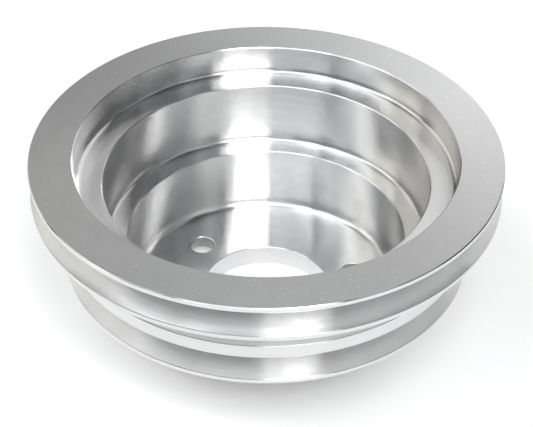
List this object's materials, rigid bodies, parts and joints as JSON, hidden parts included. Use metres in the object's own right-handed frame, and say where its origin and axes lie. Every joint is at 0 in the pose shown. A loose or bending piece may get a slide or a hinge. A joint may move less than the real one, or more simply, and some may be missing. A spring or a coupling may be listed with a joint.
{
  "type": "v-belt crankshaft pulley",
  "caption": "Machined aluminium V-belt pulley with stacked belt grooves, a deep stepped cup, a bored web and a ring of bolt holes.",
  "frame": {"origin": "centre of the bolt circle in the plane of the mounting face, on the bore's axis", "axes": "+Z along the axis of rotation, towards the open cup and away from the engine; +X towards one of the bolt holes"},
  "size_m": [0.1714, 0.1714, 0.0725],
  "materials": {
    "machined_aluminium": "fine turned, with small edge chamfers"
  },
  "bodies": {
    "root": {"crank_pulley": "machined_aluminium"}
  },
  "joints": []
}
